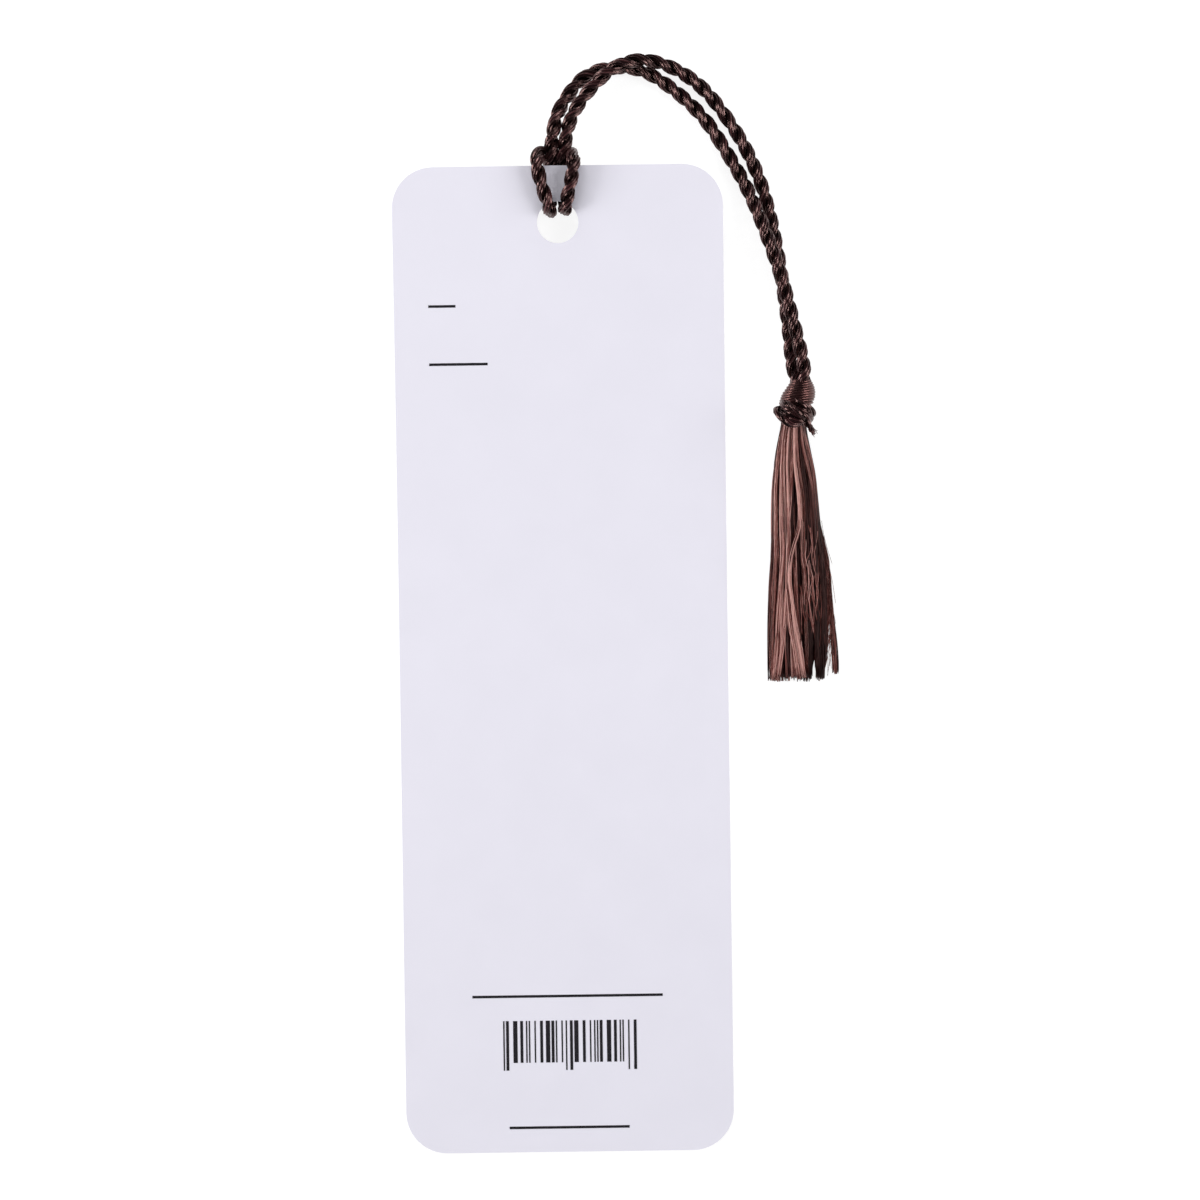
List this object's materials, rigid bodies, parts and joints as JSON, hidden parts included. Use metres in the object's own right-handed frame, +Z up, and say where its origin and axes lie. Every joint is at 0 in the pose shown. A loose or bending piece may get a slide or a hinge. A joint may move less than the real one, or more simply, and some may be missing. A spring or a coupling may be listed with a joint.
{
  "type": "bookmark with tassel",
  "caption": "Stiff card bookmark with rounded corners, and a doubled twisted cord hitched through the hole near its top edge, ending in a tied floss tassel.",
  "frame": {"origin": "on the table, in the middle of the card's length and width, at its underside", "axes": "+X to the card's right, +Y along the card towards the hole, +Z up from the table"},
  "size_m": [0.0675, 0.1694, 0.0067],
  "materials": {
    "coated_card": "satin",
    "rayon_cord": "satin",
    "rayon_floss": "satin"
  },
  "bodies": {
    "card": {"card": "coated_card"},
    "hitch": {"cord_hitch": "rayon_cord"},
    "cord": {"cord_leg_left": "rayon_cord", "cord_leg_right": "rayon_cord"},
    "tassel": {"tassel_head": "rayon_floss", "neck_tie": "rayon_cord", "tassel_skirt": "rayon_floss"}
  },
  "joints": [
    {"name": "hitch_swivel", "type": "hinge", "parent": "card", "child": "hitch", "pos_m": [0, 0.06752, 0.00312], "axis": [0, -0.0953, 0.9954], "range_deg": [-2, 6]},
    {"name": "cord_turn", "type": "hinge", "parent": "hitch", "child": "cord", "pos_m": [0.0004, 0.08034, 0.00365], "axis": [-0.1736, -0.9848, 0], "range_deg": [0, 180]},
    {"name": "tassel_swing", "type": "hinge", "parent": "cord", "child": "tassel", "pos_m": [0.0364, 0.04058, 0.00305], "axis": [0, 0, 1], "range_deg": [-3, 65]}
  ]
}
